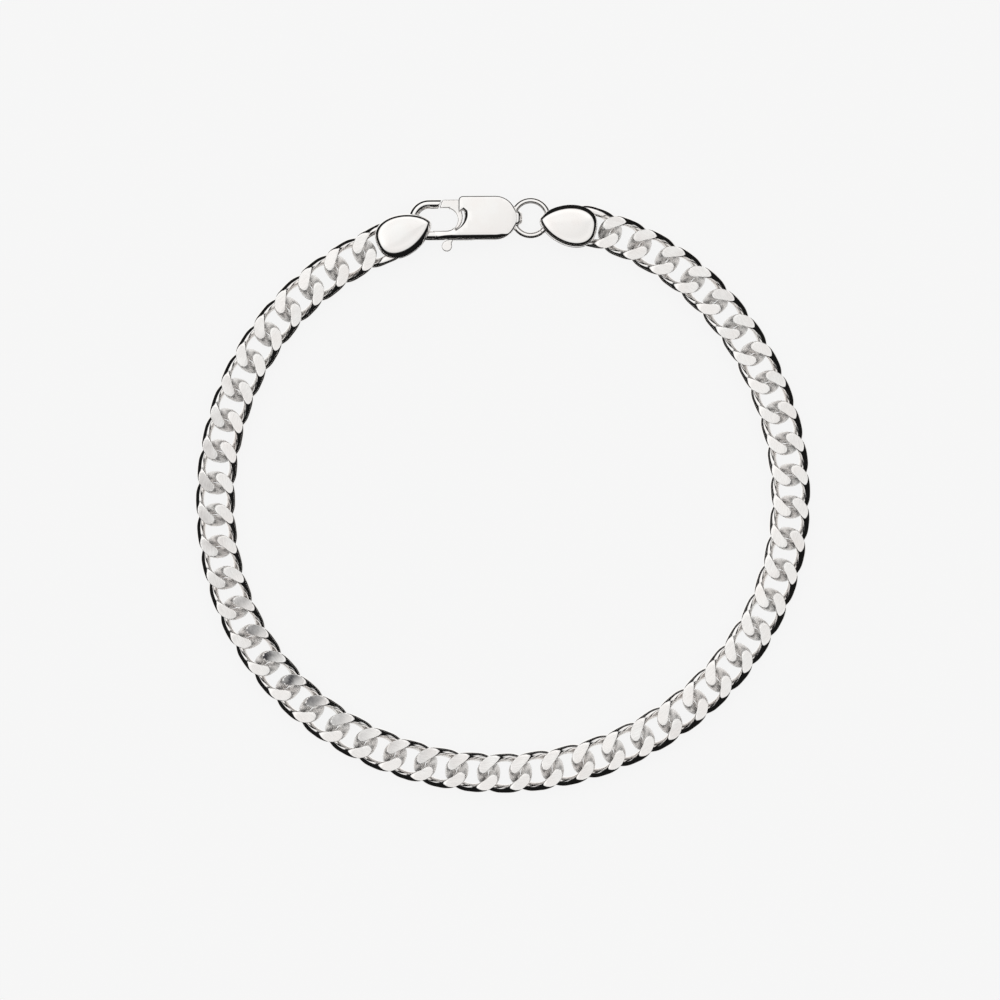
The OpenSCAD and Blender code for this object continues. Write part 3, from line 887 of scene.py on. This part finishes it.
def make_floor():
    """Pale tabletop."""
    material = bpy.data.materials.new("tabletop")
    material.use_nodes = True
    nodes, links = material.node_tree.nodes, material.node_tree.links
    shader = nodes["Principled BSDF"]
    grain = noise(nodes, 40, 5)
    shader.inputs["Base Color"].default_value = TABLE_GREY
    shader.inputs["Specular IOR Level"].default_value = 0.0
    links.new(spread(nodes, links, grain.outputs["Fac"], 0.9, 1.0), shader.inputs["Roughness"])
    shader.inputs["Emission Color"].default_value = (1, 1, 1, 1)
    shader.inputs["Emission Strength"].default_value = TABLE_GLOW
    bpy.ops.mesh.primitive_plane_add(size=TABLE_SIZE)
    floor = bpy.context.object
    floor.name = "tabletop"
    floor.data.materials.append(material)
    floor.visible_glossy = False


def make_backdrop():
    """Pale wall all round, which only the camera sees."""
    material = bpy.data.materials.new("backdrop")
    material.use_nodes = True
    shader = material.node_tree.nodes["Principled BSDF"]
    shader.inputs["Base Color"].default_value = (0, 0, 0, 1)
    shader.inputs["Specular IOR Level"].default_value = 0.0
    shader.inputs["Emission Color"].default_value = (1, 1, 1, 1)
    shader.inputs["Emission Strength"].default_value = WALL_GLOW
    bpy.ops.mesh.primitive_uv_sphere_add(radius=WALL_R)
    backdrop = bpy.context.object
    backdrop.name = "backdrop"
    backdrop.data.materials.append(material)
    backdrop.visible_glossy = False
    backdrop.visible_diffuse = False
    backdrop.visible_shadow = False


# Light

# Brightness of the tent by height, from straight below (0) to straight above (1)
SKY = (
    (0.0, 1.00),
    (0.25, 1.00),
    (0.29, 0.01),
    (0.71, 0.01),
    (0.75, 0.95),
    (0.90, 1.06),
    (1.0, 0.95),
)

# Width of the dark band in front, on -Y, and at the back, on +Y, against its width at the sides
BAND_NEAR, BAND_FAR = 1.4, 0.7

# The tent is brighter on the side it opens to: that way, and its brightness away and towards
BRIGHT_WAY = (-0.6, 0.8, 0)
AWAY, TOWARDS = 0.88, 1.05


def make_light():
    """Soft light tent: bright above, with a dark band at the horizon that outlines the silver."""
    world = bpy.data.worlds.new("tent")
    bpy.context.scene.world = world
    world.use_nodes = True
    nodes, links = world.node_tree.nodes, world.node_tree.links
    where = nodes.new("ShaderNodeTexCoord")
    split = nodes.new("ShaderNodeSeparateXYZ")
    links.new(where.outputs["Generated"], split.inputs["Vector"])
    height = nodes.new("ShaderNodeMapRange")
    height.inputs["From Min"].default_value = -1.0
    width = nodes.new("ShaderNodeMapRange")
    width.inputs["From Min"].default_value = -1.0
    width.inputs["To Min"].default_value = BAND_NEAR
    width.inputs["To Max"].default_value = BAND_FAR
    links.new(split.outputs["Y"], width.inputs["Value"])
    level = nodes.new("ShaderNodeMath")
    level.operation = "DIVIDE"
    links.new(split.outputs["Z"], level.inputs[0])
    links.new(width.outputs["Result"], level.inputs[1])
    links.new(level.outputs["Value"], height.inputs["Value"])
    ramp = nodes.new("ShaderNodeValToRGB")
    links.new(height.outputs["Result"], ramp.inputs["Fac"])
    stops = ramp.color_ramp.elements
    for place, value in SKY[1:-1]:
        stops.new(place)
    for stop, (place, value) in zip(stops, SKY):
        stop.position = place
        stop.color = (value, value, value, 1)
    side = nodes.new("ShaderNodeVectorMath")
    side.operation = "DOT_PRODUCT"
    side.inputs[1].default_value = BRIGHT_WAY
    links.new(where.outputs["Generated"], side.inputs[0])
    slope = nodes.new("ShaderNodeMapRange")
    slope.interpolation_type = "SMOOTHSTEP"
    slope.inputs["From Min"].default_value = -0.1
    slope.inputs["From Max"].default_value = 0.18
    slope.inputs["To Min"].default_value = AWAY
    slope.inputs["To Max"].default_value = TOWARDS
    links.new(side.outputs["Value"], slope.inputs["Value"])
    light = nodes.new("ShaderNodeMath")
    light.operation = "MULTIPLY"
    links.new(ramp.outputs["Color"], light.inputs[0])
    links.new(slope.outputs["Result"], light.inputs[1])
    background = nodes["Background"]
    background.inputs["Color"].default_value = (1, 0.995, 0.985, 1)
    links.new(light.outputs["Value"], background.inputs["Strength"])


# Camera: straight above, framed as the photo

PHOTO_WIDTH = 112.5 * MM
CAMERA_HEIGHT = 0.6
CAMERA_PLACE = (-0.34 * MM, -0.56 * MM)


def make_camera():
    """Camera of the photo."""
    data = bpy.data.cameras.new("camera")
    data.sensor_width = 36
    data.lens = 36 * CAMERA_HEIGHT / PHOTO_WIDTH
    data.clip_start, data.clip_end = 0.01, 20
    camera = bpy.data.objects.new("camera", data)
    camera.location = (*CAMERA_PLACE, CAMERA_HEIGHT + 0.002)
    bpy.context.scene.collection.objects.link(camera)
    bpy.context.scene.camera = camera


def dress():
    """Puts the drawn pieces in the place of the part's own, and gives each its silver."""
    polished = silver("silver_polished", (0.04, 0.11), (2400, 2400), 0.002, 0.05, False)
    flats = silver("silver_filed", (0.07, 0.16), (1.2, 7), 0.012, 0.05, True)
    chain = make_chain(polished, flats)
    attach(chain, "bracelet")
    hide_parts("chain")
    left_aim = clasp_point(OPENING_LEFT, OPENING_Y - HOOK_TURN * OPENING_R)
    for name, place, aim in (
        ("terminal_left", LEFT_POST, left_aim),
        ("terminal_right", RIGHT_POST, RING_CENTRE),
    ):
        terminal = make_terminal(name + "_domed", place, aim, polished)
        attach(terminal, "bracelet")
        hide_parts(name)
    for name, piece in (("clasp_body", make_clasp(polished)), ("jump_ring", make_ring(polished))):
        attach(piece, "bracelet")
        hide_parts(name)
    dress_lever(silver("silver_handled", (0.04, 0.11), (2400, 2400), 0.002, 0.1, False))


dress()
make_floor()
make_backdrop()
make_light()
make_camera()
bpy.context.scene.view_settings.view_transform = "Standard"
